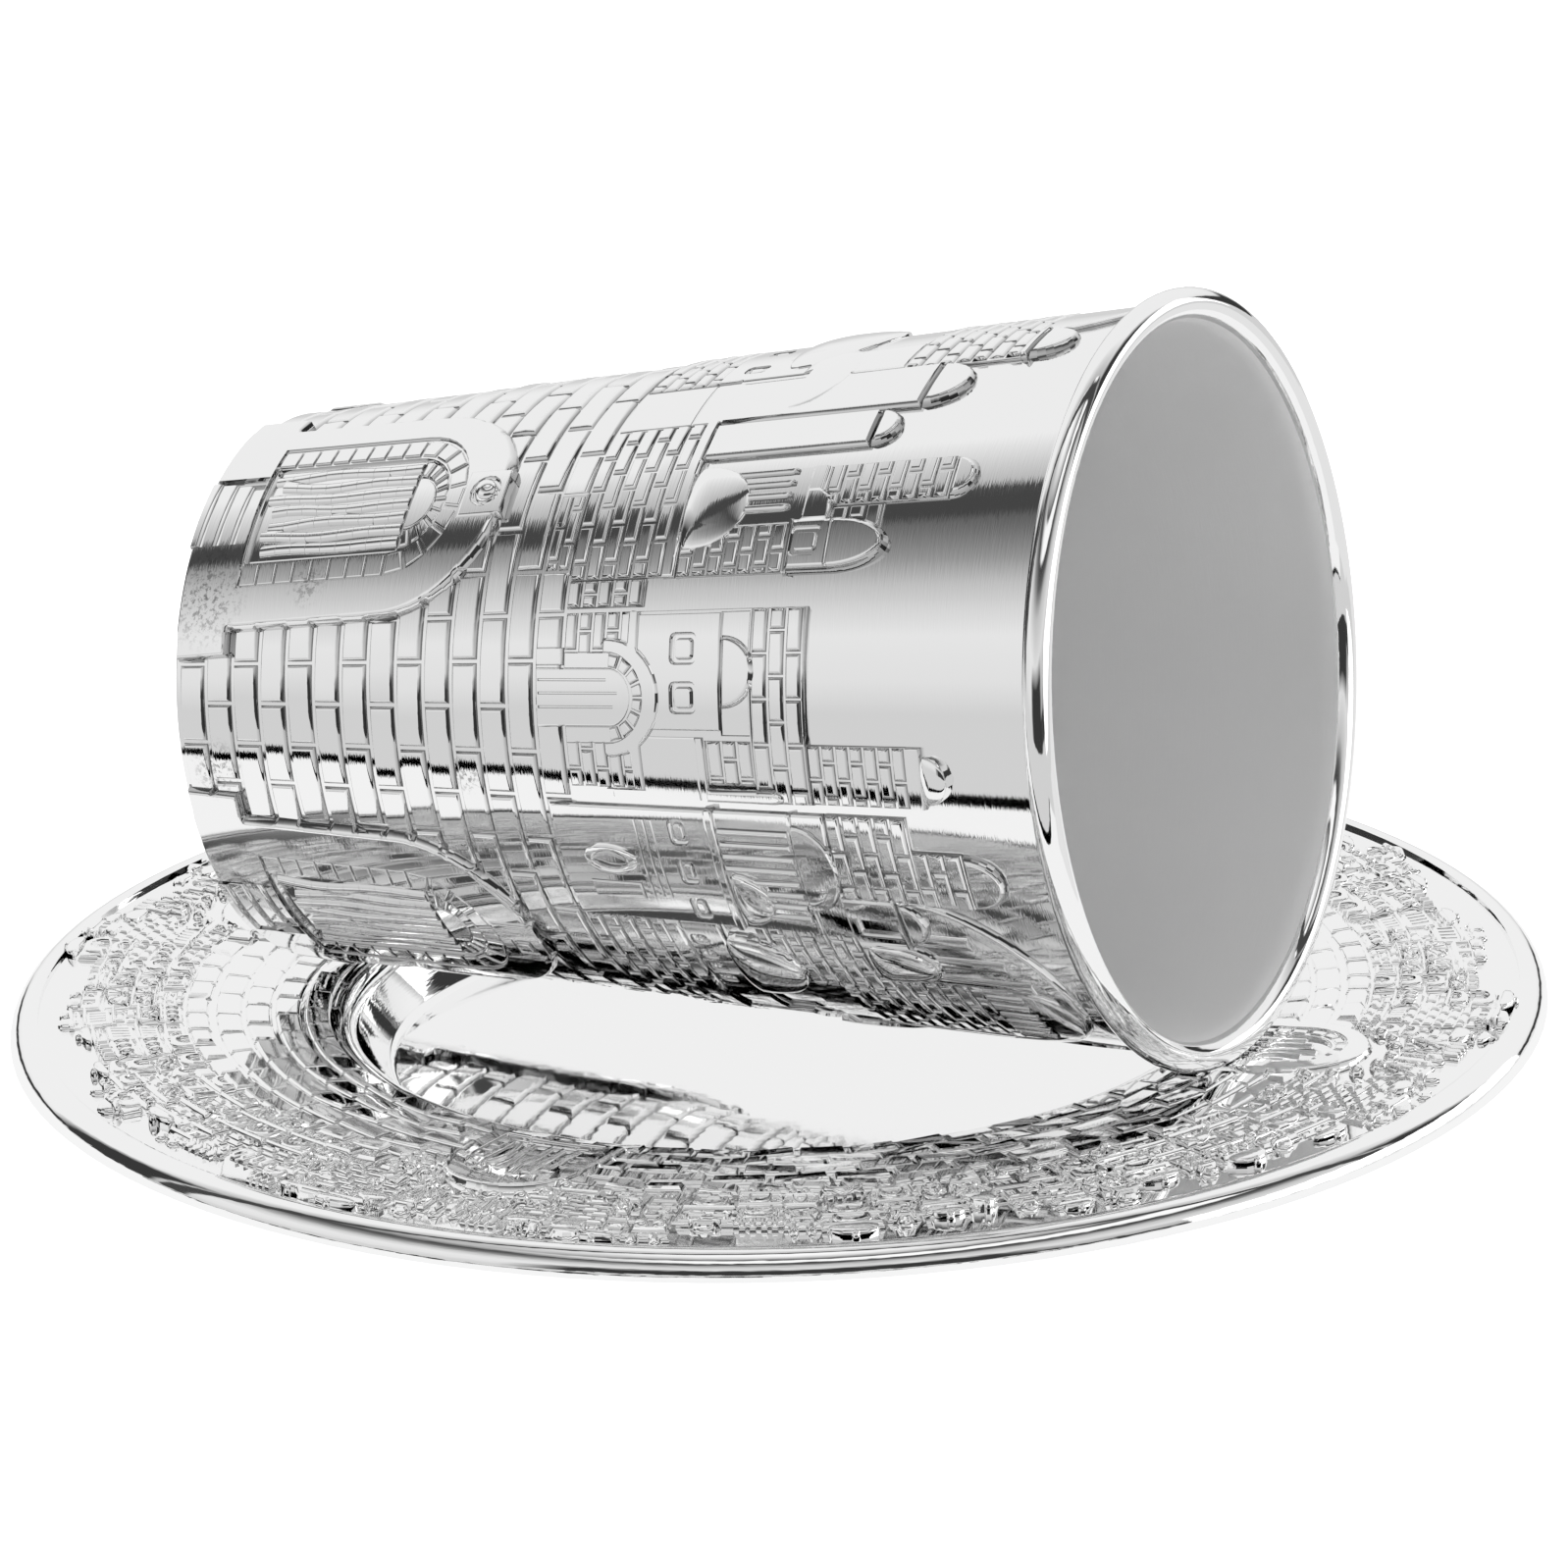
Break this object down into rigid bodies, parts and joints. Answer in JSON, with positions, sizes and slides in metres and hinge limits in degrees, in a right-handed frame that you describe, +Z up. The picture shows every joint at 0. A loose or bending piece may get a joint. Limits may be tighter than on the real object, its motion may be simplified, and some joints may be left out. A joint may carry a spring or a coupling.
{
  "type": "kiddush cup with saucer",
  "caption": "Conical kiddush cup with an arched-portal and city skyline relief, lying on its side across a matching round saucer.",
  "frame": {"origin": "centre of the saucer's flat underside, on the surface it stands on", "axes": "+Z up, +X to the right and +Y away from the viewer; the cup's mouth points towards +X and a little towards -Y"},
  "size_m": [0.135, 0.135, 0.0732],
  "materials": {
    "cup_silver": "bright silver plate, polished outside and satin inside",
    "saucer_silver": "bright silver plate, polished"
  },
  "bodies": {
    "root": {"cup": "cup_silver", "saucer": "saucer_silver"}
  },
  "joints": []
}
